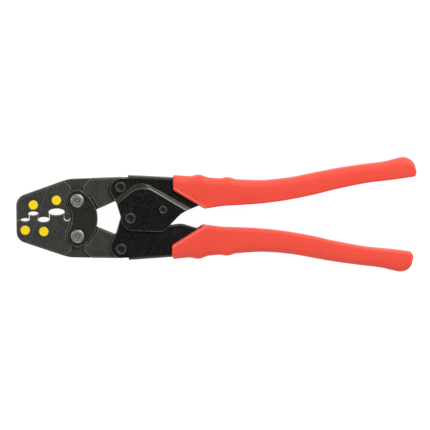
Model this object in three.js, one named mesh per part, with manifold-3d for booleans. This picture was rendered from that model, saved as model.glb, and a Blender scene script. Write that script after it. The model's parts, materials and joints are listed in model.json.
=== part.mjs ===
// A compound-leverage crimping tool for cable terminals, closed and lying on its side.
// Two forged jaws turn on a pair of link plates, and each jaw's tail is pinned to a folded steel
// handle. The handles cross at the centre pin, where a toothed sector and a sprung pawl form the
// ratchet. Millimetres, +X from the jaws to the grips, +Y to the upper handle, +Z to the front face.
import * as THREE from "three";
import { mergeVertices } from "three/addons/utils/BufferGeometryUtils.js";
import Module from "manifold-3d";

const wasm = await Module();
wasm.setup();

// ---------------------------------------------------------------- driving dimensions
// Pivots, from the centre pin. The lower half of the tool mirrors the upper half.
const jawPivotX = -40.3;
const jawPivotY = 13.65;
const handlePivotX = -7.2;
const handlePivotY = 23.75;
const pawlPivotX = 25.2;
const pawlPivotY = 6.25;

// Jaws
const jawThick = 9;
const jawFrontX = -86.9;
const jawNoseHalf = 16.1;
const jawNoseRadius = 8.5;
const jawShoulderX = -46.9;
const jawShoulderHalf = 30;
const jawShoulderRadius = 26;
const jawBackHalf = 31.1;
const jawTailReach = 7.6;
const jawTailRadius = 7.3;
const jawTailDrop = 5.9;
const jawChamfer = 1.2;
const jawChamferHigh = 0.7;
const jawSeam = 0.04;

// Dies: oval windows on the seam between the jaws, from the front one to the back one
const dies = [
  { x: -80.2, y: -0.85, long: 6.8, high: 2.9 },
  { x: -73.95, y: 3.9, long: 7.7, high: 3.4 },
  { x: -66.0, y: -0.85, long: 9.2, high: 4.3 },
  { x: -56.1, y: 4.9, long: 12.5, high: 5.5 },
];
const stepGap = 0.5;
const stepShift = 0.25;
const notchX = -48.1;
const notchRadius = 2.45;
const notchGap = 0.2;
const notchCrescent = 0.8;
const tongueInset = 0.8;

// Size marks: enamel dots in shallow dimples, two on each jaw
const markRadius = 3.5;
const markDimple = 0.6;
const markProud = 0.1;
const marks = [
  { name: "size_mark_1", x: -80.3, y: -8.7, jaw: "lower" },
  { name: "size_mark_2", x: -73.9, y: 10.6, jaw: "upper" },
  { name: "size_mark_3", x: -66.1, y: -9.8, jaw: "lower" },
  { name: "size_mark_4", x: -56.2, y: 14.0, jaw: "upper" },
];

// Link plates
const plateThick = 3;
const plateRecess = 1.8;
const plateLobe = 8.5;
const plateWaistX = -44.5;
const plateBackX = -24.8;
const plateBackRadius = 25;
const plateChamfer = 0.7;
const recessMargin = 0.9;
const recessSwing = 1.6;
const neckHalf = 4.9;
const neckStraight = 2.1;
const neckFlareLeft = 1.18;
const neckFlareRight = 0.9;
const neckBend = 2.5;

// Handles: steel sheet folded into a channel
const sheet = 2.3;
const sideGap = 0.3;
const spineStartX = -1.2;
const spineStartHalf = 32.35;
const spineBend = 2.2;
const lobeRadius = 8;
const lobeTopHalf = 30.5;
const tangEndInset = 13;

// Grips
const gripFrontX = 33;
const gripEndX = 219.5;
const lowerGripShort = 3;
const gripFrontHalf = 31.9;
const gripWaistHalf = 27.2;
const gripEndHalf = 39.6;
const lowerGripForward = 1.2;
const gripMouthX = 57;
const gripMouthHalf = 6.5;
const gripMouthTopHalf = 21;
const gripSideWall = 1.3;
const gripInnerWall = 1.7;
const gripFaceWall = 3.6;
const gripGap = 0.3;
const gripRound = 4.2;
const gripHeel = 1.5;
const gripNose = 2;
const bulbLong = 31;
const bumpFirst = { from: 20.6, high: 1.65, reach: 8 };
const bumpSecond = { from: 42.6, high: 1.2, reach: 7 };

// Pins and rivets
const pinShank = 3.2;
const pinHead = 4.4;
const pinHeadHigh = 1.1;
const pinGap = 0.15;
const seatGap = 0.05;
const pawlPinShank = 2.4;
const pawlPinHead = 3.3;
const rivetShank = 3.4;
const rivetHead = 5.2;
const rivetHeadHigh = 1.3;
const openPivotSlack = 0.75;

// Ratchet
const ratchetThick = 4.4;
const handleSwing = 40;
const toothCount = 9;
const toothHigh = 1.6;
const pawlReach = 9;
const pawlHub = 4.6;
const toothGap = 0.4;
const sectorRivetX = 13;
const sectorRivetY = -4.5;
const sectorRivetShank = 2.2;
const washerOuter = 6.2;
const springWire = 0.9;
const springTurns = 3;
const springLeg = 8;
const spacerOuter = 4;

// ---------------------------------------------------------------- heights worked out from them
const jawHalf = jawThick / 2;
const cheekInner = jawHalf + sideGap;
const cheekOuter = cheekInner + sheet;
const raisedInner = cheekOuter + sideGap;
const raisedOuter = raisedInner + sheet;
const gripHalf = cheekOuter + gripGap + gripFaceWall;
const plateInner = jawHalf - plateRecess + seatGap;
const plateOuter = plateInner + plateThick;
const centrePinTop = raisedOuter + seatGap + pinHeadHigh;
const ratchetHalf = ratchetThick / 2;
const restHalf = Math.max(gripHalf, centrePinTop);
const farAway = 60;

// ---------------------------------------------------------------- outline helpers
const degrees = (angle) => (angle * Math.PI) / 180;

// Points on an arc about (x, y), from one angle to another, in degrees.
function arc(x, y, radius, from, to, steps) {
  return Array.from({ length: steps + 1 }, (_, i) => {
    const angle = degrees(from + ((to - from) * i) / steps);
    return new THREE.Vector2(x + radius * Math.cos(angle), y + radius * Math.sin(angle));
  });
}

// One corner of an outline, replaced by an arc that is tangent to its two sides.
function roundCorner(before, corner, after, radius, step) {
  const a = before.clone().sub(corner).normalize();
  const b = after.clone().sub(corner).normalize();
  const half = Math.acos(THREE.MathUtils.clamp(a.dot(b), -1, 1)) / 2;
  const centre = a.clone().add(b).normalize().multiplyScalar(radius / Math.sin(half)).add(corner);
  const start = a.clone().multiplyScalar(radius / Math.tan(half)).add(corner).sub(centre);
  const end = b.clone().multiplyScalar(radius / Math.tan(half)).add(corner).sub(centre);
  const turn = Math.atan2(start.cross(end), start.dot(end));
  const steps = Math.max(2, Math.ceil(Math.abs(turn) / degrees(step)));
  return Array.from({ length: steps + 1 }, (_, i) =>
    start.clone().rotateAround(new THREE.Vector2(), (turn * i) / steps).add(centre),
  );
}

// An outline from corners [x, y, radius]. An open one keeps its first and last corner sharp.
function outline(corners, { open = false, step = 8 } = {}) {
  const at = (i) => new THREE.Vector2(...corners[(i + corners.length) % corners.length]);
  return corners.flatMap(([x, y, radius], i) => {
    const isEnd = open && (i === 0 || i === corners.length - 1);
    if (!radius || isEnd) return [new THREE.Vector2(x, y)];
    return roundCorner(at(i - 1), at(i), at(i + 1), radius, step);
  });
}

// Evenly spaced points on a smooth curve through the points given.
function smooth(points, steps) {
  return new THREE.SplineCurve(points.map(([x, y]) => new THREE.Vector2(x, y))).getPoints(steps);
}

// The height of a smooth curve at x.
function heightAt(curve, x) {
  const i = Math.max(1, curve.findIndex((p) => p.x >= x));
  const [a, b] = [curve[i - 1], curve[i]];
  return a.y + ((b.y - a.y) * (x - a.x)) / (b.x - a.x);
}

const mirrored = (points) => points.map((p) => new THREE.Vector2(p.x, -p.y)).reverse();
const onSide = (points, side) => (side > 0 ? points : mirrored(points));
const shifted = (points, x, y) => points.map((p) => new THREE.Vector2(p.x + x, p.y + y));

// ---------------------------------------------------------------- solid helpers
// The signed volume of a triangle mesh: negative when its faces point inwards.
function signedVolume(vertices, triangles) {
  const [a, b, c] = [new THREE.Vector3(), new THREE.Vector3(), new THREE.Vector3()];
  let total = 0;
  for (let i = 0; i < triangles.length; i += 3) {
    a.fromArray(vertices, triangles[i] * 3);
    b.fromArray(vertices, triangles[i + 1] * 3);
    c.fromArray(vertices, triangles[i + 2] * 3);
    total += a.dot(b.cross(c)) / 6;
  }
  return total;
}

// A closed geometry as a solid that can be joined and cut, with its faces pointing out.
function solidFrom(geometry) {
  const bare = geometry.clone();
  bare.deleteAttribute("normal");
  bare.deleteAttribute("uv");
  const merged = mergeVertices(bare, 1e-5);
  const triVerts = new Uint32Array(merged.index.array);
  const vertProperties = merged.attributes.position.array;
  if (signedVolume(vertProperties, triVerts) < 0) triVerts.reverse();
  return new wasm.Manifold(new wasm.Mesh({ numProp: 3, vertProperties, triVerts }));
}

function geometryFrom(solid) {
  const mesh = solid.getMesh();
  const geometry = new THREE.BufferGeometry();
  geometry.setAttribute("position", new THREE.BufferAttribute(mesh.vertProperties, 3));
  geometry.setIndex(new THREE.BufferAttribute(mesh.triVerts, 1));
  return geometry.toNonIndexed();
}

const joined = (solids) => solids.reduce((sum, next) => sum.add(next));
const without = (solid, cuts) => cuts.reduce((rest, cut) => rest.subtract(cut), solid);

// A flat plate from a closed outline, between two heights, with an optional edge rounding.
function plate(points, low, high, { bevel = 0, bevelHigh = bevel, bevelSteps = 1 } = {}) {
  const geometry = new THREE.ExtrudeGeometry(new THREE.Shape(points), {
    depth: high - low - 2 * bevelHigh,
    bevelEnabled: bevel > 0,
    bevelSize: bevel,
    bevelOffset: -bevel,
    bevelThickness: bevelHigh,
    bevelSegments: bevelSteps,
  });
  return solidFrom(geometry.translate(0, 0, low + bevelHigh));
}

function ellipsePlate(x, y, halfLong, halfHigh, low, high) {
  const points = new THREE.EllipseCurve(x, y, halfLong, halfHigh).getPoints(40).slice(0, -1);
  return plate(points, low, high);
}

function drum(x, y, radius, low, high, sides = 24) {
  const geometry = new THREE.CylinderGeometry(radius, radius, high - low, sides);
  return solidFrom(geometry.rotateX(Math.PI / 2).translate(x, y, (low + high) / 2));
}

// A turned piece standing on the Z axis at (x, y), from a profile of [radius, height] points.
function turned(profile, x, y, sides = 24) {
  const geometry = new THREE.LatheGeometry(profile.map(([r, z]) => new THREE.Vector2(r, z)), sides);
  return solidFrom(geometry.rotateX(Math.PI / 2).translate(x, y, 0));
}

// A solid through a row of closed rings that each have the same number of points.
function loft(rings) {
  const size = rings[0].length;
  const geometry = new THREE.BufferGeometry().setFromPoints(rings.flat());
  const faces = [];
  rings.slice(1).forEach((_, r) => {
    for (let i = 0; i < size; i++) {
      const [a, b] = [r * size + i, r * size + ((i + 1) % size)];
      faces.push(a, b, b + size, a, b + size, a + size);
    }
  });
  const last = (rings.length - 1) * size;
  for (let i = 1; i < size - 1; i++) {
    faces.push(0, i + 1, i, last, last + i, last + i + 1);
  }
  geometry.setIndex(faces);
  return solidFrom(geometry);
}

// ---------------------------------------------------------------- jaws
// The inner edge of each tail runs straight from the seam to the tail's end.
const tailEndX = handlePivotX + jawTailReach;
const tailInnerY = handlePivotY - jawTailDrop;
const tailRootX = jawPivotX - 0.4;

// Half of the outer edge of the pair of jaws, from the seam at the front to the seam at the back.
function jawHalfOutline() {
  return outline(
    [
      [jawFrontX, 0],
      [jawFrontX, jawNoseHalf, jawNoseRadius],
      [jawShoulderX, jawShoulderHalf, jawShoulderRadius],
      [tailEndX, jawBackHalf, jawTailRadius],
      [tailEndX, tailInnerY, jawTailRadius * 0.8],
      [tailRootX, 0],
    ],
    { open: true },
  );
}

// The blank that both jaws are parted from, with its outer edge chamfered.
function jawBlank() {
  const upper = jawHalfOutline();
  const lower = mirrored(upper).slice(1, -1);
  return plate([...upper, ...lower], -jawHalf, jawHalf, {
    bevel: jawChamfer,
    bevelHigh: jawChamferHigh,
  });
}

// The stepped seam. It joins the tips of the ovals, then drops to the tongue and its notch.
// grow is 0 on the upper jaw, and 1 on the lower jaw, which stands clear by the gaps.
function seam(grow) {
  const [first, second, third, fourth] = dies;
  const drop = grow * jawSeam;
  const riseOne = (first.x + first.long / 2 + second.x - second.long / 2) / 2 + stepShift;
  const fallOne = (second.x + second.long / 2 + third.x - third.long / 2) / 2;
  const riseTwo = (third.x + third.long / 2 + fourth.x - fourth.long / 2) / 2 + stepShift;
  const tongueX = notchX - notchRadius + notchGap;
  const round = notchRadius - (1 - grow) * notchGap;
  return [
    [jawFrontX - farAway, first.y - drop],
    [riseOne + (grow - 0.5) * stepGap, first.y - drop],
    [riseOne + (grow - 0.5) * stepGap, second.y - drop],
    [fallOne - drop, second.y - drop],
    [fallOne - drop, third.y - drop],
    [riseTwo + (grow - 0.5) * stepGap, third.y - drop],
    [riseTwo + (grow - 0.5) * stepGap, fourth.y - drop],
    [tongueX - grow * notchGap, fourth.y - drop],
    ...arc(notchX, (1 - grow) * notchCrescent, round, 180, 360, 12).map((p) => [p.x, p.y]),
    [notchX + round, -drop],
    [farAway, -drop],
  ].map(([x, y]) => new THREE.Vector2(x, y));
}

// Everything on one side of the seam.
function seamSide(side) {
  const line = seam(side > 0 ? 0 : 1);
  const far = side * farAway;
  const corners = [new THREE.Vector2(farAway, far), new THREE.Vector2(jawFrontX - farAway, far)];
  return plate([...line, ...corners], -jawThick, jawThick);
}

// The outline shared by the link plates and the recess that they lie in.
function linkOutline(lobe, waistX, backShift) {
  const lobeEnd = 215;
  const joinX = jawPivotX + lobe * Math.cos(degrees(lobeEnd));
  const joinY = jawPivotY + lobe * Math.sin(degrees(lobeEnd));
  const depth = waistX - joinX;
  const waistRadius = (depth * depth + joinY * joinY) / (2 * depth);
  const waistAngle = THREE.MathUtils.radToDeg(Math.asin(joinY / waistRadius));
  const backAngle = 61;
  const backX = plateBackX - plateBackRadius + backShift;
  const upperLobe = arc(jawPivotX, jawPivotY, lobe, 74, lobeEnd, 18);
  return [
    ...upperLobe,
    ...arc(waistX - waistRadius, 0, waistRadius, waistAngle, -waistAngle, 8).slice(1, -1),
    ...mirrored(upperLobe),
    ...arc(backX, 0, plateBackRadius, -backAngle, backAngle, 20).slice(1, -1),
  ];
}

// The recess runs out to the edge of the jaw through a flared neck beyond each rivet.
function recessNeck(side) {
  const top = jawPivotY + plateLobe;
  const bend = top + neckStraight;
  const past = jawBackHalf - bend + 5;
  const corners = [
    [jawPivotX - neckHalf, top - 3],
    [jawPivotX - neckHalf, bend, neckBend],
    [jawPivotX - neckHalf - neckFlareLeft * past, bend + past],
    [jawPivotX + neckHalf + neckFlareRight * past, bend + past],
    [jawPivotX + neckHalf, bend, neckBend],
    [jawPivotX + neckHalf, top - 3],
  ];
  return onSide(outline(corners), side);
}

function linkRecess(low, high) {
  const pocket = linkOutline(plateLobe + recessMargin, plateWaistX - recessMargin, recessSwing);
  return joined([
    plate(pocket, low, high),
    plate(recessNeck(1), low, high),
    plate(recessNeck(-1), low, high),
  ]);
}

const dieWindows = () =>
  dies.map((die) => ellipsePlate(die.x, die.y, die.long / 2, die.high / 2, -jawThick, jawThick));

function jaw(side, rivetHole) {
  const jawName = side > 0 ? "upper" : "lower";
  const floor = jawHalf - plateRecess;
  const dimples = marks
    .filter((mark) => mark.jaw === jawName)
    .map((mark) => drum(mark.x, mark.y, markRadius + pinGap, jawHalf - markDimple, jawThick));
  return without(jawBlank().intersect(seamSide(side)), [
    ...dieWindows(),
    ...dimples,
    linkRecess(floor, jawThick),
    linkRecess(-jawThick, -floor),
    drum(jawPivotX, side * jawPivotY, rivetHole, -jawThick, jawThick),
    drum(handlePivotX, side * handlePivotY, pinShank + pinGap, -jawThick, jawThick),
  ]);
}

// The tongue on the upper jaw is thinner than the jaw, so it lies a little below its face.
function upperJaw() {
  const fourth = dies[3];
  const corners = [
    [notchX - notchRadius - 0.2, fourth.y - 1.4, 0.6],
    [notchX - notchRadius - 0.2, -notchRadius - 1],
    [plateWaistX + 1, -notchRadius - 1],
    [plateWaistX + 1, fourth.y - 1.4],
  ];
  const step = plate(outline(corners), jawHalf - tongueInset, jawThick);
  return jaw(1, rivetShank + pinGap).subtract(step);
}

const lowerJaw = () => jaw(-1, rivetShank + openPivotSlack);

function sizeMark(mark) {
  const floor = jawHalf - markDimple + seatGap;
  const top = jawHalf + markProud;
  const profile = [
    [0, floor],
    [markRadius, floor],
    [markRadius, top - 0.2],
    [markRadius - 0.5, top],
    [0, top],
  ];
  return turned(profile, mark.x, mark.y);
}

// ---------------------------------------------------------------- link plates
function linkPlate(side) {
  const [low, high] = side > 0 ? [plateInner, plateOuter] : [-plateOuter, -plateInner];
  const blank = plate(linkOutline(plateLobe, plateWaistX, 0), low, high, {
    bevel: plateChamfer,
    bevelHigh: plateChamfer * 0.7,
  });
  return without(blank, [
    drum(jawPivotX, jawPivotY, rivetShank + pinGap, -farAway, farAway),
    drum(jawPivotX, -jawPivotY, rivetShank + pinGap, -farAway, farAway),
  ]);
}

// A rivet through both link plates and a jaw: a domed head with a ring groove and a centre pip.
function jawRivet(side) {
  const seat = plateOuter + seatGap;
  const top = seat + rivetHeadHigh;
  const half = [
    [rivetShank, seat],
    [rivetHead, seat],
    [rivetHead, seat + 0.45],
    [rivetHead - 0.9, top - 0.1],
    [rivetHead - 2.2, top],
    [2.4, top],
    [1.9, top - 0.5],
    [1.1, top - 0.5],
    [0.7, top - 0.1],
    [0, top - 0.1],
  ];
  const below = half.map(([r, z]) => [r, -z]).reverse();
  return turned([...below, ...half], jawPivotX, side * jawPivotY);
}

// ---------------------------------------------------------------- edges shared by handles and grips
const gripLength = gripEndX - gripFrontX;
const along = (share) => gripFrontX + share * gripLength;

// The outer edge of a grip, without its finger ridges.
const outerEdge = smooth(
  [
    [gripFrontX, gripFrontHalf],
    [along(0.075), gripFrontHalf - 1.15],
    [along(0.15), gripFrontHalf - 2.3],
    [along(0.255), gripWaistHalf + 0.95],
    [along(0.35), gripWaistHalf],
    [along(0.415), gripWaistHalf + 0.55],
    [along(0.495), gripWaistHalf + 2.3],
    [along(0.575), gripEndHalf - 7.25],
    [along(0.66), gripEndHalf - 4.3],
    [along(0.75), gripEndHalf - 1.8],
    [along(0.835), gripEndHalf],
    [along(1), gripEndHalf + 2],
  ],
  90,
);

// The inner edge of a grip, from its mouth to its end.
const gripEndInner = gripEndHalf - 10;
const innerEdge = smooth(
  [
    [gripMouthX, gripMouthHalf],
    [along(0.17), gripMouthHalf + 1.2],
    [along(0.21), gripMouthHalf + 2.1],
    [along(0.275), gripMouthHalf + 2.6],
    [along(0.35), gripMouthHalf + 3.45],
    [along(0.425), gripMouthHalf + 4.9],
    [along(0.49), gripMouthHalf + 6.75],
    [along(0.575), gripEndInner - 13.3],
    [along(0.66), gripEndInner - 9.55],
    [along(0.75), gripEndInner - 6.15],
    [along(0.81), gripEndInner - 4.3],
    [along(0.9), gripEndInner - 2.5],
    [along(1), gripEndInner],
  ],
  90,
);

function ridge(x, frontX, { from, high, reach }) {
  const away = Math.abs(x - frontX - from) / reach;
  return away < 1 ? high * Math.cos((away * Math.PI) / 2) ** 2 : 0;
}

function gripOuterAt(x, frontX) {
  return heightAt(outerEdge, x) + ridge(x, frontX, bumpFirst) + ridge(x, frontX, bumpSecond);
}

// Stations along a stretch, evenly spaced.
const stations = (from, to, count) =>
  Array.from({ length: count + 1 }, (_, i) => from + ((to - from) * i) / count);

// ---------------------------------------------------------------- handles
const tangEndX = gripEndX - tangEndInset;

// The back stretch of a handle, hidden in its grip, from the mouth round the end to the front.
// clear is 0 for the steel and gripGap for the pocket in the grip.
function tangEdges(clear, endX) {
  const inner = stations(gripMouthX + 2, endX + clear, 16).map(
    (x) => new THREE.Vector2(x, heightAt(innerEdge, x) + gripInnerWall + gripGap - clear),
  );
  const outer = stations(endX + clear, gripFrontX, 20).map(
    (x) => new THREE.Vector2(x, heightAt(outerEdge, x) - gripSideWall - gripGap + clear),
  );
  return [...inner, ...outer];
}

// The front edge leans from the lobe round the jaw pin down to the centre pin.
const leanTop = [handlePivotX - 12.6, lobeTopHalf, lobeRadius];
const leanKnee = [handlePivotX - 2.9, handlePivotY - 12.95, 6];

// The corners where each handle laps the other round the centre pin, then leads back to its grip.
const upperLapFront = [-4.3, -9.3, 8.7];
const upperLapBack = [pawlPivotX + 0.2, -10.7, 7];
const upperThroat = [gripFrontX + 6.5, 3.6, 18];
const upperThroatEnd = [gripMouthX - 3, 9.5, 6];
const lowerLap = [
  [-4.6, -7.9, 7],
  [6, -7.9, 6],
  [pawlPivotX - 1.2, 7.6, 10],
];
const lowerThroat = [gripFrontX + 6.5, 5.4, 14];
const lowerThroatEnd = [gripMouthX - 3.5, 9.7, 6];

function upperHandleOutline() {
  const front = outline(
    [
      [spineStartX, spineStartHalf],
      [spineStartX, lobeTopHalf],
      leanTop,
      leanKnee,
      upperLapFront,
      upperLapBack,
      upperThroat,
      upperThroatEnd,
      [gripMouthX + 1.9, heightAt(innerEdge, gripMouthX + 2) + gripInnerWall + gripGap],
    ],
    { open: true },
  );
  return [...front, ...tangEdges(0, tangEndX)];
}

function lowerHandleOutline() {
  const front = outline(
    [
      [spineStartX, spineStartHalf],
      [spineStartX, lobeTopHalf],
      leanTop,
      leanKnee,
      ...lowerLap,
      lowerThroat,
      lowerThroatEnd,
      [gripMouthX + 1.9, heightAt(innerEdge, gripMouthX + 2) + gripInnerWall + gripGap],
    ],
    { open: true },
  );
  return mirrored([...front, ...tangEdges(0, tangEndX - lowerGripShort)]);
}

// The hollow of the channel: all that lies between the cheeks and inside the spine.
function channelHollow(side) {
  const inside = stations(gripFrontX, gripEndX + 10, 24).map(
    (x) => new THREE.Vector2(x, heightAt(outerEdge, x) - gripSideWall - gripGap - sheet),
  );
  const points = [
    new THREE.Vector2(spineStartX, spineStartHalf - sheet),
    ...inside,
    new THREE.Vector2(gripEndX + 10, -farAway),
    new THREE.Vector2(-farAway, -farAway),
    new THREE.Vector2(-farAway, farAway),
    new THREE.Vector2(spineStartX, farAway),
  ];
  return plate(onSide(points, side), -cheekInner, cheekInner);
}

// What is taken off the two outer corners of the spine, so that the fold is round.
function foldRounding(side) {
  const spineEnd = gripFrontHalf - gripSideWall - gripGap;
  const start = new THREE.Vector3(spineStartX - 2, side * spineStartHalf, 0);
  const end = new THREE.Vector3(gripFrontX, side * spineEnd, 0);
  const length = start.distanceTo(end) + 1.5;
  return [1, -1].map((face) => {
    const centre = [-side * spineBend, face * (cheekOuter - spineBend)];
    const points = Array.from({ length: 7 }, (_, i) => {
      const angle = degrees(i * 15);
      const y = centre[0] + side * spineBend * Math.cos(angle);
      const z = centre[1] + face * spineBend * Math.sin(angle);
      return new THREE.Vector2(y, z);
    });
    const shape = new THREE.Shape([
      ...points,
      new THREE.Vector2(centre[0], face * (cheekOuter + 1)),
      new THREE.Vector2(side, face * (cheekOuter + 1)),
      new THREE.Vector2(side, points[0].y),
    ]);
    const geometry = new THREE.ExtrudeGeometry(shape, { depth: length, bevelEnabled: false });
    const slope = Math.atan2(end.y - start.y, end.x - start.x);
    const toAxes = new THREE.Matrix4().set(0, 0, 1, 0, 1, 0, 0, 0, 0, 1, 0, 0, 0, 0, 0, 1);
    geometry.applyMatrix4(toAxes).rotateZ(slope).translate(start.x, start.y, 0);
    return solidFrom(geometry);
  });
}

// The two lines of the joggle that lifts the upper handle's cheek over the lower handle's.
const joggleSteps = { open: true, step: 8 };
const joggleOuter = [
  [-30, 0.8],
  [8.3, 28.65, 13],
  [75.4, -9.5],
];
const joggleInner = [
  [-30, -5.7],
  [8.5, 25.8, 16],
  [75, -14.5],
];

function inside(line, lift) {
  const edge = shifted(outline(line, joggleSteps), 0, lift);
  return [...edge, new THREE.Vector2(edge.at(-1).x, -farAway), new THREE.Vector2(edge[0].x, -farAway)];
}

function joggleRamp(face) {
  const outer = outline(joggleOuter, joggleSteps);
  const inner = outline(joggleInner, joggleSteps);
  const count = 12;
  const spread = (line) => {
    const arcOnly = line.slice(1, -1);
    const round = stations(0, arcOnly.length - 1, count).map((t) => {
      const i = Math.min(Math.floor(t), arcOnly.length - 2);
      return arcOnly[i].clone().lerp(arcOnly[i + 1], t - i);
    });
    return [line[0], ...round, line.at(-1)];
  };
  const [outerPoints, innerPoints] = [spread(outer), spread(inner)];
  const rings = outerPoints.map((o, i) => {
    const n = innerPoints[i];
    return [
      new THREE.Vector3(o.x, o.y, face * cheekInner),
      new THREE.Vector3(o.x, o.y, face * cheekOuter),
      new THREE.Vector3(n.x, n.y, face * raisedOuter),
      new THREE.Vector3(n.x, n.y, face * raisedInner),
    ];
  });
  return loft(rings);
}

const between = (face, low, high) => (face > 0 ? [low, high] : [-high, -low]);

function upperHandle() {
  const points = upperHandleOutline();
  const overlap = 0.35;
  const channel = plate(points, -cheekOuter, cheekOuter).subtract(channelHollow(1));
  const opening = plate(inside(joggleOuter, -overlap), -farAway, farAway);
  const folded = without(channel, [opening, ...foldRounding(1)]);
  const cheeks = [1, -1].map((face) => {
    const raised = plate(points, ...between(face, raisedInner, raisedOuter)).intersect(
      plate(inside(joggleInner, overlap), -farAway, farAway),
    );
    const ramp = joggleRamp(face).intersect(plate(points, -farAway, farAway));
    return raised.add(ramp);
  });
  return without(joined([folded, ...cheeks]), [
    drum(0, 0, pinShank + pinGap, -farAway, farAway),
    drum(handlePivotX, handlePivotY, pinShank + pinGap, -farAway, farAway),
    drum(pawlPivotX, pawlPivotY, pawlPinShank + pinGap, -farAway, farAway),
  ]);
}

function lowerHandle() {
  const channel = plate(lowerHandleOutline(), -cheekOuter, cheekOuter).subtract(channelHollow(-1));
  return without(channel, [
    ...foldRounding(-1),
    drum(0, 0, pinShank + pinGap, -farAway, farAway),
    drum(handlePivotX, -handlePivotY, pinShank + pinGap, -farAway, farAway),
    drum(sectorRivetX, sectorRivetY, sectorRivetShank + pinGap, -farAway, farAway),
  ]);
}

// ---------------------------------------------------------------- grips
// The outer edge over the last stretch: it swells into a bulb, then turns in to the end face.
function bulbEdge(endX) {
  return smooth(
    [
      [endX - bulbLong - 5, heightAt(outerEdge, endX - bulbLong - 5)],
      [endX - bulbLong, heightAt(outerEdge, endX - bulbLong)],
      [endX - 23, gripEndHalf + 1.15],
      [endX - 17, gripEndHalf + 2.6],
      [endX - 10.5, gripEndHalf + 4],
      [endX - 5.5, gripEndHalf + 3.1],
      [endX - 1.7, gripEndHalf - 0.2],
      [endX, gripEndHalf - 5.5],
    ],
    40,
  );
}

// How far a quarter round of this radius falls back from an edge, at some way in from its corner.
function rounding(way, radius) {
  return way < radius ? radius - Math.sqrt(radius ** 2 - (radius - way) ** 2) : 0;
}

// The front stretch of the inner edge slants from the mouth up to the front face.
function gripLow(x, frontX, endX) {
  const mouthX = frontX + gripMouthX - gripFrontX;
  if (x > mouthX) return heightAt(innerEdge, x) + rounding(endX - x, gripHeel);
  const share = (x - frontX) / (mouthX - frontX);
  return THREE.MathUtils.lerp(gripMouthTopHalf, gripMouthHalf, share);
}

function gripHigh(x, frontX, endX, bulb) {
  const edge = x > endX - bulbLong ? heightAt(bulb, x) : gripOuterAt(x, frontX);
  return edge - rounding(x - frontX, gripNose);
}

// A rounded rectangle across the grip at x.
function gripRing(x, low, high) {
  const radius = Math.min(gripRound, (high - low) / 2 - 0.2);
  return [0, 90, 180, 270].flatMap((turn) => {
    const y = turn === 0 || turn === 270 ? high - radius : low + radius;
    const z = turn < 180 ? gripHalf - radius : radius - gripHalf;
    return arc(y, z, radius, turn, turn + 90, 4).map((p) => new THREE.Vector3(x, p.x, p.y));
  });
}

function grip(side) {
  const short = side > 0 ? 0 : lowerGripShort;
  const endX = gripEndX - short;
  const frontX = gripFrontX - (side > 0 ? 0 : lowerGripForward);
  const mouthX = frontX + gripMouthX - gripFrontX;
  const bulb = bulbEdge(endX);
  const xs = [
    ...[0, 0.6, 2].map((d) => frontX + d),
    ...stations(frontX + 5, mouthX, 9),
    ...stations(mouthX + 3, frontX + 51, 8),
    ...stations(frontX + 60, endX - bulbLong - 1, 12),
    ...stations(endX - 26, endX - 4, 7),
    ...[2, 0.8, 0.2, 0].map((d) => endX - d),
  ];
  const body = loft(
    xs.map((x) => {
      const ring = gripRing(x, gripLow(x, frontX, endX), gripHigh(x, frontX, endX, bulb));
      return ring.map((p) => new THREE.Vector3(p.x, side * p.y, p.z));
    }),
  );
  const spineSlope = (spineStartHalf - gripFrontHalf + gripSideWall + gripGap) / (gripFrontX - spineStartX);
  const pocketPoints = [
    new THREE.Vector2(gripFrontX - 5, gripFrontHalf - gripSideWall + 5 * spineSlope),
    new THREE.Vector2(gripFrontX - 5, -12),
    new THREE.Vector2(gripFrontX + 6, 1),
    ...tangEdges(gripGap, tangEndX - short),
  ];
  const pocketHalf = cheekOuter + gripGap;
  return body.subtract(plate(onSide(pocketPoints, side), -pocketHalf, pocketHalf));
}

// ---------------------------------------------------------------- pins
// A plain pin with a chamfered flat head on both faces of what it holds.
function headedPin(x, y, shank, head, seat) {
  const top = seat + seatGap + pinHeadHigh;
  const half = [
    [shank, seat + seatGap],
    [head, seat + seatGap],
    [head, top - 0.75],
    [head - 0.35, top - 0.3],
    [head * 0.68, top],
    [0, top],
  ];
  const below = half.map(([r, z]) => [r, -z]).reverse();
  return turned([...below, ...half], x, y);
}

const plainPin = (x, y, radius, half) => drum(x, y, radius, -half, half, 24);

function tube(x, y, outer, inner, low, high) {
  return drum(x, y, outer, low, high).subtract(drum(x, y, inner, low - 1, high + 1));
}

// ---------------------------------------------------------------- ratchet
const pawlDistance = Math.hypot(pawlPivotX, pawlPivotY);
const pawlAngle = THREE.MathUtils.radToDeg(Math.atan2(pawlPivotY, pawlPivotX));
const toothTip = pawlDistance - pawlReach - toothGap;
const toothRoot = toothTip - toothHigh;

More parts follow.
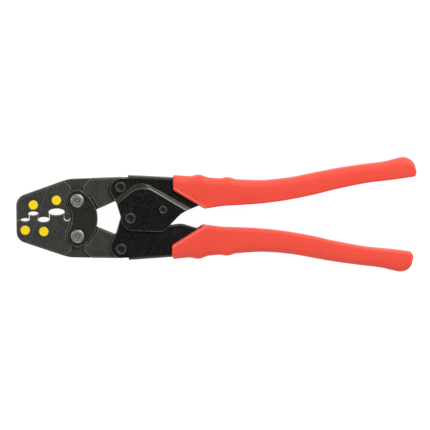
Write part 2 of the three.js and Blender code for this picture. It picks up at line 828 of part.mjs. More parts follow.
// The sector: a hub on the centre pin, a lug for its rivet, and the toothed arc.
function ratchetSector() {
  const first = pawlAngle + 3.5;
  const pitch = (handleSwing - 7) / toothCount;
  const polar = (radius, angle) => arc(0, 0, radius, angle, angle, 1)[0];
  const teeth = Array.from({ length: toothCount }, (_, i) => [
    polar(toothRoot, first + pitch * (i + 0.1)),
    polar(toothTip, first + pitch * (i + 0.45)),
    polar(toothTip, first + pitch * (i + 0.6)),
    polar(toothRoot, first + pitch * (i + 0.9)),
  ]).flat();
  const fan = [
    new THREE.Vector2(0, 0),
    ...arc(0, 0, toothRoot - 0.8, pawlAngle - 8, pawlAngle + 1.5, 3),
    ...teeth,
    ...arc(0, 0, toothRoot - 0.8, pawlAngle + handleSwing - 1.5, pawlAngle + handleSwing + 8, 3),
  ];
  const lug = outline([
    [0, 6.5, 2],
    [sectorRivetX + 4.5, sectorRivetY + 4.5, 4],
    [sectorRivetX + 4.5, sectorRivetY - 4.5, 4],
    [0, -6.5, 2],
  ]);
  return without(
    joined([
      plate(fan, -ratchetHalf, ratchetHalf),
      plate(lug, -ratchetHalf, ratchetHalf),
      drum(0, 0, 7, -ratchetHalf, ratchetHalf),
    ]),
    [
      drum(0, 0, pinShank + pinGap, -farAway, farAway),
      drum(sectorRivetX, sectorRivetY, sectorRivetShank + pinGap, -farAway, farAway),
    ],
  );
}

// The pawl points at the centre pin, so it clears the teeth whichever way it is tipped.
function ratchetPawl() {
  const nose = outline([
    [0, pawlHub * 0.85],
    [-pawlReach, 0, 0.5],
    [0, -pawlHub * 0.85],
    [pawlHub + 1.5, -1.6, 0.8],
    [pawlHub + 1.5, 1.6, 0.8],
  ]);
  const turn = degrees(pawlAngle);
  const placed = nose.map((p) =>
    p.rotateAround(new THREE.Vector2(), turn).add(new THREE.Vector2(pawlPivotX, pawlPivotY)),
  );
  return joined([
    plate(placed, -ratchetHalf, ratchetHalf),
    drum(pawlPivotX, pawlPivotY, pawlHub, -ratchetHalf, ratchetHalf),
  ]).subtract(drum(pawlPivotX, pawlPivotY, pawlPinShank + pinGap, -farAway, farAway));
}

// A torsion spring wound on the pawl pin, one leg over the pawl and one towards the spine.
function pawlSpring() {
  const radius = pawlPinShank + 0.4 + springWire / 2;
  const low = ratchetHalf + sideGap + springWire / 2;
  const high = raisedInner - sideGap - springWire / 2;
  const turnSteps = 12;
  const steps = springTurns * turnSteps;
  const start = degrees(pawlAngle + 90);
  const coil = Array.from({ length: steps + 1 }, (_, i) => {
    const angle = start + (i / turnSteps) * 2 * Math.PI;
    const z = low + ((high - low) * i) / steps;
    return new THREE.Vector3(radius * Math.cos(angle), radius * Math.sin(angle), z);
  });
  const legDirection = new THREE.Vector3(-Math.sin(start), Math.cos(start), 0);
  const legIn = coil[0].clone().addScaledVector(legDirection, -springLeg);
  const legOut = coil.at(-1).clone().addScaledVector(legDirection, springLeg * 0.6);
  const path = new THREE.CatmullRomCurve3([legIn, ...coil, legOut]);
  const section = new THREE.Shape(arc(0, 0, springWire / 2, 0, 300, 5));
  const geometry = new THREE.ExtrudeGeometry(section, { steps: 60, extrudePath: path });
  return solidFrom(geometry.translate(pawlPivotX, pawlPivotY, 0));
}

// ---------------------------------------------------------------- the assembly
const blackOxide = { color: 0x3e3d37, roughness: 0.55, metalness: 0.7 };
const blackPaint = { color: 0x1c1c1b, roughness: 0.5, metalness: 0.4 };
const platedSteel = { color: 0xaaa8a3, roughness: 0.35, metalness: 0.9 };
const hardenedSteel = { color: 0x5f605c, roughness: 0.4, metalness: 0.9 };
const redVinyl = { color: 0xf0503f, roughness: 0.5, metalness: 0 };
const yellowEnamel = { color: 0xffe40f, roughness: 0.45, metalness: 0 };

const group = new THREE.Group();

function add(name, solid, finish) {
  const mesh = new THREE.Mesh(geometryFrom(solid), new THREE.MeshStandardMaterial(finish));
  mesh.name = name;
  group.add(mesh);
}

add("upper_jaw", upperJaw(), blackOxide);
add("lower_jaw", lowerJaw(), blackOxide);
marks.forEach((mark) => add(mark.name, sizeMark(mark), yellowEnamel));
add("front_link_plate", linkPlate(1), blackPaint);
add("back_link_plate", linkPlate(-1), blackPaint);
add("upper_jaw_rivet", jawRivet(1), platedSteel);
add("lower_jaw_rivet", jawRivet(-1), platedSteel);
add("upper_handle_frame", upperHandle(), blackPaint);
add("lower_handle_frame", lowerHandle(), blackPaint);
add("upper_grip", grip(1), redVinyl);
add("lower_grip", grip(-1), redVinyl);
add("centre_pin", headedPin(0, 0, pinShank, pinHead, raisedOuter), blackPaint);
add(
  "upper_front_pin",
  headedPin(handlePivotX, handlePivotY, pinShank, pinHead, cheekOuter),
  blackPaint,
);
add(
  "lower_front_pin",
  headedPin(handlePivotX, -handlePivotY, pinShank, pinHead, cheekOuter),
  blackPaint,
);
add(
  "pawl_pin",
  headedPin(pawlPivotX, pawlPivotY, pawlPinShank, pawlPinHead, raisedOuter),
  blackPaint,
);
add("ratchet_sector", ratchetSector(), hardenedSteel);
add(
  "sector_rivet",
  plainPin(sectorRivetX, sectorRivetY, sectorRivetShank, cheekOuter),
  platedSteel,
);
add("ratchet_pawl", ratchetPawl(), hardenedSteel);
add("pawl_spring", pawlSpring(), platedSteel);
add(
  "pawl_spacer",
  tube(
    pawlPivotX,
    pawlPivotY,
    spacerOuter,
    pawlPinShank + pinGap,
    -raisedInner + seatGap,
    -ratchetHalf - pinGap,
  ),
  platedSteel,
);
[1, -1].forEach((face) => {
  const name = face > 0 ? "front_sector_washer" : "back_sector_washer";
  const [low, high] = between(face, ratchetHalf + pinGap, cheekInner - pinGap);
  add(name, tube(0, 0, washerOuter, pinShank + pinGap, low, high), platedSteel);
});

// The origin is the middle of the face that the tool lies on.
group.position.set(-(jawFrontX + gripEndX) / 2, 0, restHalf);

export default group;
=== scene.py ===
# %% [markdown]
# # A ratchet crimping tool, closed and lying on a pale bench
# The tool crimps terminals onto cable. Two forged jaws turn on link plates, and two folded steel
# handles with red vinyl grips drive them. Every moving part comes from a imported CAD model, which
# fixes all sizes and places. This file gives each part its finish, and builds again, in finer mesh,
# the pieces that a hand or an eye meets first: the grips, the pins, the rivets and the paint dots.

# %% Load the fixed frame
import json
import math

import bmesh
import bpy
from mathutils import Matrix, Vector


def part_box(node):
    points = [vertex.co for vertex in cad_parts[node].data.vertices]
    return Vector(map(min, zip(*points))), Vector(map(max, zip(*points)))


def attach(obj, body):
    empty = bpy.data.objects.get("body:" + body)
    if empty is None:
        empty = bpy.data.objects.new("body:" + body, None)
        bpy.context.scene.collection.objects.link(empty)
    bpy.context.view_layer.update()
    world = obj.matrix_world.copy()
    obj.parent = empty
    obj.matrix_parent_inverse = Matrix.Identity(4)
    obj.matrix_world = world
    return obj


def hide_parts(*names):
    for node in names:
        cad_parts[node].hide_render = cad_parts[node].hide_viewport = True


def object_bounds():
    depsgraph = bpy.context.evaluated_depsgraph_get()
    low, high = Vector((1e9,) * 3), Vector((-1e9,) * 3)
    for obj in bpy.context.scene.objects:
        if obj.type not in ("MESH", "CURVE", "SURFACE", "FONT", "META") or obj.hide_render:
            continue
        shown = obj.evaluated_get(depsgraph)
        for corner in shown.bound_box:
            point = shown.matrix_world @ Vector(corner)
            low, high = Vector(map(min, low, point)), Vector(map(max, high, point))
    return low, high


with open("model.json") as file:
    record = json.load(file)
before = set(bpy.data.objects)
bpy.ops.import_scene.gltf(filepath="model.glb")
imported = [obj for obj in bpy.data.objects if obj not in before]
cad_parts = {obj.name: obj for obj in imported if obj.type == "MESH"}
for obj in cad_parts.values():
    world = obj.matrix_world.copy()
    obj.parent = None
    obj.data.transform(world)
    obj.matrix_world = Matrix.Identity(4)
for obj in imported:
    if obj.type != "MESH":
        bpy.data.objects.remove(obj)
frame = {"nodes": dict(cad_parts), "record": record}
cad_low, cad_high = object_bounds()
nodes = frame["nodes"]

# %% [markdown]
# All sizes below are written in millimetres, as on a drawing, and measured from the centre pin,
# where the two handles cross. Blender works in metres, so one function moves a point from the
# drawing to the scene. The centre pin's own box says where the drawing's zero is.

# %% From the drawing to the scene
MM = 0.001


def middle_of(node):
    low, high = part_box(node)
    return (low + high) / 2


ZERO = middle_of("centre_pin")


def place(x, y, z=0.0):
    """A point of the drawing, in millimetres from the centre pin, in the scene's metres."""
    return ZERO + Vector((x, y, z)) * MM


def size_mm(node):
    low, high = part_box(node)
    return (high - low) / MM


print("drawing zero at", [round(v, 4) for v in ZERO])


# %% [markdown]
# A workshop finish is never one flat colour. Each material here is a small network of nodes: noise
# for cast and rolled texture, a bevel lookup that finds the edges, where black finish wears thin and
# a painted highlight lightens them, and bump for the grain. One function fills a node's sockets and
# one adds a node of any kind, so that each network reads as a recipe. Hex colours are what a paint
# chart gives, so they are turned to linear light first.


# %% Colours and nodes
def linear(hex_code):
    """An sRGB hex colour such as F0503F as linear light, with alpha."""
    parts = [int(hex_code[i : i + 2], 16) / 255 for i in (0, 2, 4)]
    return [c / 12.92 if c <= 0.04045 else ((c + 0.055) / 1.055) ** 2.4 for c in parts] + [1.0]


def plug(node, **sockets):
    """Fills sockets, each by its name or, where several share one, by its number.

    A socket takes a number, a hex colour or the output of another node.
    """
    for name, value in sockets.items():
        if name[1:].isdigit():
            socket = node.inputs[int(name[1:])]
        else:
            shown = name.replace("_", " ")
            socket = next(s for s in node.inputs if s.enabled and s.name == shown)
        if isinstance(value, bpy.types.NodeSocket):
            node.id_data.links.new(value, socket)
        else:
            socket.default_value = linear(value) if isinstance(value, str) else value


def add(tree, kind, out=None, **values):
    """Adds a node and gives back one output: the one called out, or the first in use.

    Lower-case names in values are the node's settings, and the others are its sockets.
    """
    node = tree.nodes.new("ShaderNode" + kind)
    for name in [n for n in values if n[0].islower()]:
        setattr(node, name, values.pop(name))
    plug(node, **values)
    return next(s for s in node.outputs if s.enabled and out in (None, s.name))


def blank_material(name, **shader_values):
    """A material with only its shader, and the shader's constant sockets filled."""
    made = bpy.data.materials.new(name)
    made.use_nodes = True
    tree = made.node_tree
    shader = tree.nodes["Principled BSDF"]
    plug(shader, **shader_values)
    return made, tree, shader


print("vinyl red in linear light:", [round(c, 3) for c in linear("F04835")[:3]])

# %% [markdown]
# Wear, painted highlights and painted shade follow the shape, so they are made as masks from the
# shape itself. A bevelled normal finds the outer edges that hands rub, which also get a painted
# highlight, and ambient occlusion finds the grooves and the lines where parts meet, which get
# painted shade. Grain is noise, and its scale is worked out from the real size of the grain.


# %% Grain, wear, painted highlights and painted shade
def scale_for(grain_mm):
    """The scale of a noise whose features are about grain_mm across."""
    return 1 / (grain_mm * MM)


def distance_from(tree, source, level):
    """How far a value is from a level, on either side of it."""
    beyond = add(tree, "Math", operation="SUBTRACT", _0=source, _1=level)
    return add(tree, "Math", operation="ABSOLUTE", _0=beyond)


# Lightens edges both for real edge wear and as a painted highlight where light would catch them.
def edge_wear_and_highlight(tree, width_mm, sharp=0.12):
    """A mask that is 1 on outer edges: where a bevelled normal leaves the true one."""
    rounded = add(tree, "Bevel", samples=6, Radius=width_mm * MM)
    true = add(tree, "NewGeometry", out="Normal")
    dot = add(tree, "VectorMath", out="Value", operation="DOT_PRODUCT", _0=rounded, _1=true)
    return add(tree, "MapRange", Value=dot, From_Min=1.0, From_Max=1.0 - sharp)


def painted_recess_shade(tree, colour, reach_mm):
    """Paints shade into a colour in grooves and along foot lines, found by ambient occlusion."""
    open_share = add(tree, "AmbientOcclusion", out="AO", samples=6, Distance=reach_mm * MM)
    unshaded_share = add(tree, "MapRange", Value=open_share, From_Min=0.45, From_Max=0.9)
    return add(tree, "Mix", data_type="RGBA", Factor=unshaded_share, A="0E0D0A", B=colour)


def made_of(material):
    """Says what was made, and gives it back."""
    print(material.name, "with", len(material.node_tree.nodes), "nodes")
    return material


# %% [markdown]
# The jaws are forged steel, hardened, ground flat on both faces and chemically blacked. Blacking
# is a thin oxide film held in oil: it looks dark olive grey, hides little of the grinding, and goes
# pale along worn edges. So the colour is mottled at a few millimetres, the roughness has fine
# speckle, and an edge mask lightens every corner, for that wear and as a painted highlight. The
# grinding wheel left one faint slanting line across both jaws, made here as a thin band about a
# plane.


# %% Blacked forged steel
GRIND_ACROSS = (0.943, -0.332, 0.0)
GRIND_AT = place(-70.5, 1.5)


def grinding_line(tree, at):
    """A mask of a thin slanting band: the distance from a plane that stands across the jaws."""
    across = add(tree, "VectorMath", out="Value", operation="DOT_PRODUCT", _0=at, _1=GRIND_ACROSS)
    away = distance_from(tree, across, Vector(GRIND_ACROSS).dot(GRIND_AT))
    band = {"From_Min": 0.2 * MM, "From_Max": 0.6 * MM}
    return add(tree, "MapRange", Value=away, To_Min=0.3, To_Max=0.0, **band)


def blacked_forged_steel():
    made, tree, shader = blank_material("blacked_forged_steel", Metallic=0.35)
    at = add(tree, "TexCoord", out="Object")
    cloud = add(tree, "TexNoise", Vector=at, Scale=scale_for(9.0), Detail=4.0, Roughness=0.55)
    mottle = add(tree, "MapRange", Value=cloud, From_Min=0.3, From_Max=0.7)
    grit = add(tree, "TexNoise", Vector=at, Scale=scale_for(0.8), Detail=2.0, Roughness=0.55)
    speckle = add(tree, "MapRange", Value=grit, From_Min=0.35, From_Max=0.75)
    flecks = add(tree, "MapRange", Value=speckle, From_Min=0.35, To_Max=0.65)
    line = grinding_line(tree, at)
    edges = edge_wear_and_highlight(tree, 0.6)
    base = add(tree, "Mix", data_type="RGBA", Factor=mottle, A="2D2C28", B="3C3B35")
    flecked = add(tree, "Mix", data_type="RGBA", Factor=flecks, A=base, B="5C5B52")
    lined = add(tree, "Mix", data_type="RGBA", Factor=line, A=flecked, B="6B6A60")
    edged = add(tree, "Mix", data_type="RGBA", Factor=edges, A=lined, B="9A988E")
    rough = add(tree, "MapRange", Value=speckle, To_Min=0.5, To_Max=0.62)
    relief = add(tree, "Bump", Strength=0.25, Distance=0.05 * MM, Height=speckle)
    plug(shader, Base_Color=edged, Roughness=rough, Normal=relief)
    return made


BLACKED_STEEL = made_of(blacked_forged_steel())


# %% [markdown]
# The handles are 2.3 mm sheet, pressed, folded and painted black by electro-dipping. The paint is
# smooth and close to black, with a slight orange peel and a few grey scuffs where the press
# rubbed. The sloping joggle that lifts the cheek gets a painted sheen that makes it greyer, and
# along its crest, on the long side that slopes towards the grip, a painted highlight nearly as pale
# as bare steel. The masks for this use the part's own normals, so they turn with the handle.
# Edges show a thin lighter line, partly where paint pulls back from a corner, partly a painted
# highlight.


# %% Electro-dipped black paint on folded steel
def painted_joggle_sheen(tree, at, paint):
    """Painted sheen: greyer on faces that lean outward, palest on the crest towards the grip."""
    upward = add(tree, "SeparateXYZ", out="Z", Vector=add(tree, "TexCoord", out="Normal"))
    endward = upward.node.outputs["X"]
    not_flat = add(tree, "MapRange", Value=upward, From_Min=0.93, From_Max=0.8)
    not_upright = add(tree, "MapRange", Value=upward, From_Min=0.25, From_Max=0.45, To_Max=0.85)
    leaning = add(tree, "Math", operation="MULTIPLY", _0=not_flat, _1=not_upright)
    half = size_mm("upper_handle_frame").z / 2 * MM
    z = add(tree, "SeparateXYZ", out="Z", Vector=at)
    height = distance_from(tree, z, middle_of("upper_handle_frame").z)
    crest = add(tree, "MapRange", Value=height, From_Min=half - 1.3 * MM, From_Max=half - 0.3 * MM)
    long_side = add(tree, "Mix", data_type="RGBA", Factor=crest, A="34342E", B="B4B4A9")
    short_side = add(tree, "Mix", data_type="RGBA", Factor=crest, A="2E2E28", B="3C3C35")
    to_grip = add(tree, "MapRange", Value=endward, From_Min=0.15, From_Max=0.3)
    shine = add(tree, "Mix", data_type="RGBA", Factor=to_grip, A=short_side, B=long_side)
    return add(tree, "Mix", data_type="RGBA", Factor=leaning, A=paint, B=shine)


def dipped_black_paint():
    made, tree, shader = blank_material("electro_dipped_black_paint", Specular_IOR_Level=0.32)
    at = add(tree, "TexCoord", out="Object")
    cloud = add(tree, "TexNoise", Vector=at, Scale=scale_for(14.0), Detail=3.0, Roughness=0.55)
    patch = add(tree, "MapRange", Value=cloud, From_Min=0.45, From_Max=0.75)
    dust = add(tree, "TexNoise", Vector=at, Scale=scale_for(1.5), Detail=3.0, Roughness=0.55)
    dusty = add(tree, "MapRange", Value=dust, From_Min=0.48, From_Max=0.72, To_Max=0.85)
    rubs = add(tree, "TexNoise", Vector=at, Scale=scale_for(4.0), Detail=8.0, Roughness=0.72)
    scuff = add(tree, "MapRange", Value=rubs, From_Min=0.57, From_Max=0.72, To_Max=0.6)
    edges = edge_wear_and_highlight(tree, 0.5, 0.09)
    paint = add(tree, "Mix", data_type="RGBA", Factor=patch, A="030303", B="0E0E0C")
    base = add(tree, "Mix", data_type="RGBA", Factor=dusty, A=paint, B="2A2924")
    scuffed = add(tree, "Mix", data_type="RGBA", Factor=scuff, A=base, B="34332C")
    # Painted sheen on the joggle, with a painted highlight along its crest.
    joggle_sheened = painted_joggle_sheen(tree, at, scuffed)
    edged = add(tree, "Mix", data_type="RGBA", Factor=edges, A=joggle_sheened, B="86867C")
    rough = add(tree, "MapRange", Value=patch, To_Min=0.36, To_Max=0.46)
    peel = add(tree, "TexNoise", Vector=at, Scale=scale_for(0.9), Detail=2.0, Roughness=0.55)
    relief = add(tree, "Bump", Strength=0.3, Distance=0.04 * MM, Height=peel)
    plug(shader, Base_Color=edged, Roughness=rough, Normal=relief)
    return made


BLACK_PAINT = made_of(dipped_black_paint())


# %% [markdown]
# Pins and link plates are small turned or stamped steel parts, phosphated black. Phosphate is a
# crystal coat that soaks up oil: it is matt, a touch brown, and has a fine grain all over.


# %% Phosphated steel
def phosphated_steel(name, dark, light):
    made, tree, shader = blank_material(name, Metallic=0.1, Specular_IOR_Level=0.3)
    at = add(tree, "TexCoord", out="Object")
    coat = add(tree, "TexNoise", Vector=at, Scale=scale_for(1.1), Detail=5.0, Roughness=0.6)
    mottle = add(tree, "MapRange", Value=coat, From_Min=0.35, From_Max=0.7)
    edges = edge_wear_and_highlight(tree, 0.3, 0.07)
    tone = add(tree, "Mix", data_type="RGBA", Factor=mottle, A=dark, B=light)
    # Painted shade darkens the tone in grooves and where parts meet.
    recess_shaded = painted_recess_shade(tree, tone, 1.6)
    edged = add(tree, "Mix", data_type="RGBA", Factor=edges, A=recess_shaded, B="A3A198")
    rough = add(tree, "MapRange", Value=coat, From_Min=0.3, From_Max=0.7, To_Min=0.42, To_Max=0.58)
    relief = add(tree, "Bump", Strength=0.35, Distance=0.06 * MM, Height=coat)
    plug(shader, Base_Color=edged, Roughness=rough, Normal=relief)
    return made


PHOSPHATED = made_of(phosphated_steel("black_phosphated_steel", "0F0E0D", "33312C"))


# %% [markdown]
# The jaw rivets are zinc-plated and were closed in an orbital press, which leaves faint rings
# round the head. Bare metal has no colour under its reflections, so metallic is 1. The real marks
# are about 0.1 mm apart, too fine to see, so a fine bump of 0.35 mm grain stands for them. The
# groove that the press left is darkened with painted shade.


# %% Zinc-plated steel
def zinc_plated_steel():
    made, tree, shader = blank_material("zinc_plated_steel", Metallic=1.0)
    at = add(tree, "TexCoord", out="Object")
    cloud = add(tree, "TexNoise", Vector=at, Scale=scale_for(0.6), Detail=4.0, Roughness=0.6)
    mottle = add(tree, "MapRange", Value=cloud, From_Min=0.35, From_Max=0.7)
    tone = add(tree, "Mix", data_type="RGBA", Factor=mottle, A="989691", B="ABA9A4")
    rough = add(tree, "MapRange", Value=cloud, From_Min=0.3, From_Max=0.7, To_Min=0.42, To_Max=0.6)
    rings = add(tree, "TexNoise", Vector=at, Scale=scale_for(0.35), Detail=2.0, Roughness=0.55)
    relief = add(tree, "Bump", Strength=0.12, Distance=0.03 * MM, Height=rings)
    # Painted shade darkens the groove and the line where the head meets the plate.
    plug(shader, Base_Color=painted_recess_shade(tree, tone, 1.2), Roughness=rough, Normal=relief)
    return made


ZINC = made_of(zinc_plated_steel())


# %% [markdown]
# The ratchet's sector and pawl are hardened and then ground, which leaves bare grey steel with a
# short, crossed grain. The pawl's spring is drawn wire: smoother and a little brighter.


# %% Hardened steel and spring wire
def hardened_steel():
    made, tree, shader = blank_material("hardened_ground_steel", Metallic=1.0)
    at = add(tree, "TexCoord", out="Object")
    grind = add(tree, "TexNoise", Vector=at, Scale=scale_for(0.6), Detail=6.0, Roughness=0.7)
    mottle = add(tree, "MapRange", Value=grind, From_Min=0.3, From_Max=0.7)
    tone = add(tree, "Mix", data_type="RGBA", Factor=mottle, A="5A5B58", B="7B7C79")
    rough = add(tree, "MapRange", Value=mottle, To_Min=0.3, To_Max=0.45)
    relief = add(tree, "Bump", Strength=0.2, Distance=0.03 * MM, Height=grind)
    plug(shader, Base_Color=tone, Roughness=rough, Normal=relief)
    return made


def drawn_spring_wire():
    made, tree, shader = blank_material("drawn_spring_wire", Metallic=1.0)
    at = add(tree, "TexCoord", out="Object")
    drawn = add(tree, "TexNoise", Vector=at, Scale=scale_for(0.5), Detail=3.0, Roughness=0.55)
    mottle = add(tree, "MapRange", Value=drawn, From_Min=0.3, From_Max=0.7)
    tone = add(tree, "Mix", data_type="RGBA", Factor=mottle, A="7F807E", B="A3A4A1")
    rough = add(tree, "MapRange", Value=mottle, To_Min=0.25, To_Max=0.4)
    plug(shader, Base_Color=tone, Roughness=rough)
    return made


HARDENED = made_of(hardened_steel())
SPRING_WIRE = made_of(drawn_spring_wire())


# %% [markdown]
# The grips are soft PVC, moulded in a spark-eroded die. That leaves a fine satin grain that
# breaks up reflections, and the plastic lets a little light in, so its shadows stay warm. The
# colour is an orange red, a shade deeper where dust and handling dull it. A painted highlight, a
# fine paler line, runs just inside each slanted mouth, and the outer edges get a painted highlight
# too.


# %% Moulded red vinyl
MOUTH_LONG, MOUTH_LOW, MOUTH_TOP = 24.0, 6.5, 21.0
HIGHLIGHT_INSIDE = 1.9


def mouth_highlight(tree, at):
    """A mask along the inside of each slanted mouth edge, for a painted highlight."""
    x = add(tree, "SeparateXYZ", out="X", Vector=at)
    y = x.node.outputs["Y"]
    fall = (MOUTH_TOP - MOUTH_LOW) / MOUTH_LONG
    upper, lower = (MOUTH_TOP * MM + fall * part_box(n)[0].x for n in ("upper_grip", "lower_grip"))
    aside = add(tree, "Math", operation="ABSOLUTE", _0=y)
    level = add(tree, "Math", operation="MULTIPLY_ADD", _0=x, _1=fall, _2=aside)
    edge = add(tree, "MapRange", Value=y, From_Min=-MM, From_Max=MM, To_Min=lower, To_Max=upper)
    inside = add(tree, "Math", operation="SUBTRACT", _0=level, _1=edge)
    away = distance_from(tree, inside, HIGHLIGHT_INSIDE * MM)
    highlight_band = {"From_Min": 0.2 * MM, "From_Max": 0.7 * MM}
    return add(tree, "MapRange", Value=away, To_Min=0.5, To_Max=0.0, **highlight_band)


def moulded_red_vinyl():
    made, tree, shader = blank_material(
        "moulded_red_vinyl",
        Metallic=0.0,
        IOR=1.53,
        Specular_IOR_Level=0.38,
        Subsurface_Weight=0.12,
        Subsurface_Scale=0.002,
        Subsurface_Radius=(1.0, 0.25, 0.15),
    )
    at = add(tree, "TexCoord", out="Object")
    haze = add(tree, "TexNoise", Vector=at, Scale=scale_for(22.0), Detail=3.0, Roughness=0.55)
    cloud = add(tree, "MapRange", Value=haze, From_Min=0.3, From_Max=0.7)
    dust = add(tree, "TexNoise", Vector=at, Scale=scale_for(0.7), Detail=2.0, Roughness=0.55)
    speck = add(tree, "MapRange", Value=dust, From_Min=0.45, From_Max=0.8, To_Max=0.25)
    # On the vinyl the lightened edges are a painted highlight.
    edges = edge_wear_and_highlight(tree, 1.1, 0.08)
    highlight_band = mouth_highlight(tree, at)
    base = add(tree, "Mix", data_type="RGBA", Factor=cloud, A="F04835", B="F24E3B")
    dulled = add(tree, "Mix", data_type="RGBA", Factor=speck, A=base, B="E03828")
    lightened = add(tree, "Mix", data_type="RGBA", Factor=edges, A=dulled, B="FF7A68")
    highlighted = add(tree, "Mix", data_type="RGBA", Factor=highlight_band, A=lightened, B="FF9C8C")
    rough = add(tree, "MapRange", Value=cloud, To_Min=0.56, To_Max=0.64)
    grain = add(tree, "TexNoise", Vector=at, Scale=scale_for(0.35), Detail=2.0, Roughness=0.55)
    relief = add(tree, "Bump", Strength=0.25, Distance=0.05 * MM, Height=grain)
    plug(shader, Base_Color=highlighted, Roughness=rough, Normal=relief)
    return made


RED_VINYL = made_of(moulded_red_vinyl())


# %% [markdown]
# Each die has a dot of yellow enamel beside it that tells its size. Enamel is dabbed in by brush
# and levels out, so it is glossy and nearly even, with a few thin spots.


# %% Brushed yellow enamel
def yellow_enamel():
    made, tree, shader = blank_material("brushed_yellow_enamel", Metallic=0.0, IOR=1.5)
    at = add(tree, "TexCoord", out="Object")
    streaks = add(tree, "TexNoise", Vector=at, Scale=scale_for(1.2), Detail=3.0, Roughness=0.55)
    thin = add(tree, "MapRange", Value=streaks, From_Min=0.58, From_Max=0.75, To_Max=0.5)
    tone = add(tree, "Mix", data_type="RGBA", Factor=thin, A="FFE000", B="DDB804")
    level = add(tree, "TexNoise", Vector=at, Scale=scale_for(1.8), Detail=2.0, Roughness=0.55)
    rough = add(tree, "MapRange", Value=level, From_Min=0.3, From_Max=0.7, To_Min=0.3, To_Max=0.42)
    relief = add(tree, "Bump", Strength=0.3, Distance=0.08 * MM, Height=level)
    plug(shader, Base_Color=tone, Roughness=rough, Normal=relief)
    return made


ENAMEL = made_of(yellow_enamel())


# %% [markdown]
# The frame's record names a material slot for each part. One table says which finish fills each
# slot, so that a finish can be changed in one place.

# %% A finish for each slot
FINISHES = {
    "black_oxide_steel": BLACKED_STEEL,
    "black_painted_steel": BLACK_PAINT,
    "black_phosphate_steel": PHOSPHATED,
    "zinc_plated_steel": ZINC,
    "hardened_steel": HARDENED,
    "spring_steel": SPRING_WIRE,
    "red_vinyl": RED_VINYL,
    "yellow_enamel": ENAMEL,
}
print("finishes:", ", ".join(sorted(FINISHES)))

# %% [markdown]
# The CAD parts already have their true shape, but stamped and forged steel has no knife edges. So
# each steel part keeps its mesh and gets two modifiers: one merges the flat triangles
# into whole faces, and a bevel then rounds every real corner by a fraction of a millimetre,
# which is what catches the light on a real tool.

# %% Soften the CAD parts' edges
SLOT_OF = {s["node"]: s["material_slot"] for s in frame["record"]["subparts"]}
EDGE_MM = {
    "upper_jaw": 0.4,
    "lower_jaw": 0.4,
    "upper_handle_frame": 0.5,
    "lower_handle_frame": 0.3,
    "front_link_plate": 0.2,
    "back_link_plate": 0.2,
    "ratchet_sector": 0.12,
    "ratchet_pawl": 0.12,
}


def smooth_by_angle(piece, limit=32):
    """Shades a mesh smooth, but keeps every edge sharper than the limit crisp."""
    mesh = piece.data
    mesh.shade_smooth()
    work = bmesh.new()
    work.from_mesh(mesh)
    for edge in work.edges:
        edge.smooth = len(edge.link_faces) == 2 and edge.calc_face_angle(0) < math.radians(limit)
    work.to_mesh(mesh)
    work.free()


def soften_edges(piece, width_mm):
    flat = piece.modifiers.new("merge flat faces", "DECIMATE")
    flat.decimate_type = "DISSOLVE"
    flat.angle_limit = math.radians(0.5)
    round_off = piece.modifiers.new("round the edges", "BEVEL")
    round_off.width = width_mm * MM
    round_off.segments = 2
    round_off.limit_method = "ANGLE"
    round_off.angle_limit = math.radians(35)
    round_off.harden_normals = True


for name, part in nodes.items():
    part.data.materials.clear()
    part.data.materials.append(FINISHES[SLOT_OF[name]])
    smooth_by_angle(part)
    if name in EDGE_MM:
        soften_edges(part, EDGE_MM[name])
print("softened:", len(EDGE_MM), "parts")


# %% [markdown]
# Everything turned on a lathe is a profile swept round an axis: pins, rivet heads, paint dots. A
# profile is a short list of radius and height, and a corner in it is cut twice to become a small
# radius. Spinning it in 96 steps gives a round edge at any distance.


# %% Turned pieces
def eased(profile, times=2, share=0.25):
    """Cuts the corners of a profile, so that each becomes a small curve. The ends stay."""
    for _ in range(times):
        cut = [profile[0]]
        for (r0, z0), (r1, z1) in zip(profile, profile[1:]):
            cut.append((r0 + (r1 - r0) * share, z0 + (z1 - z0) * share))
            cut.append((r1 + (r0 - r1) * share, z1 + (z0 - z1) * share))
        profile = cut + [profile[-1]]
    return profile


def new_piece(name, mesh, finish_slot, body, *replaced):
    """Puts a finished mesh in the scene: its finish, the body it moves with, what it replaces."""
    piece = bpy.data.objects.new(name, mesh)
    bpy.context.scene.collection.objects.link(piece)
    mesh.materials.append(FINISHES[finish_slot])
    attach(piece, body)
    if replaced:
        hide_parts(*replaced)
    return piece


def turn_on_lathe(name, profile, centre, steps=96):
    """A mesh from (radius, height) points in millimetres, spun about Z through the centre."""
    work = bmesh.new()
    rings = []
    for radius, height in profile:
        if radius < 1e-6:
            rings.append([work.verts.new(centre + Vector((0, 0, height * MM)))])
            continue
        ring = []
        for i in range(steps):
            angle = 2 * math.pi * i / steps
            spot = Vector((radius * math.cos(angle), radius * math.sin(angle), height))
            ring.append(work.verts.new(centre + spot * MM))
        rings.append(ring)
    for lower, upper in zip(rings, rings[1:]):
        for i in range(steps):
            j = (i + 1) % steps
            corners = [lower[i % len(lower)], lower[j % len(lower)]]
            corners += [upper[j % len(upper)], upper[i % len(upper)]]
            unique = list(dict.fromkeys(corners))
            if len(unique) > 2:
                work.faces.new(unique)
    bmesh.ops.recalc_face_normals(work, faces=work.faces)
    mesh = bpy.data.meshes.new(name)
    work.to_mesh(mesh)
    work.free()
    return mesh


def both_ends(half):
    """A profile for a piece that is alike at both ends, from its upper half."""
    return [(r, -z) for r, z in reversed(half)] + list(half)


print("a square corner, eased, has", len(eased([(1, 0), (1, 1), (0, 1)])), "points")


# %% [markdown]
# A pivot pin is a plain steel pin with a head on each side. The head is upset cold, so it has a
# low wall, a broad chamfer, and a thin raised lip round a flat crown. The lip's faces get their own
# paler material, which is a painted highlight.


# %% Pivot pins
PIN_STEEL = made_of(phosphated_steel("oiled_phosphated_steel", "0C0B0A", "161513"))
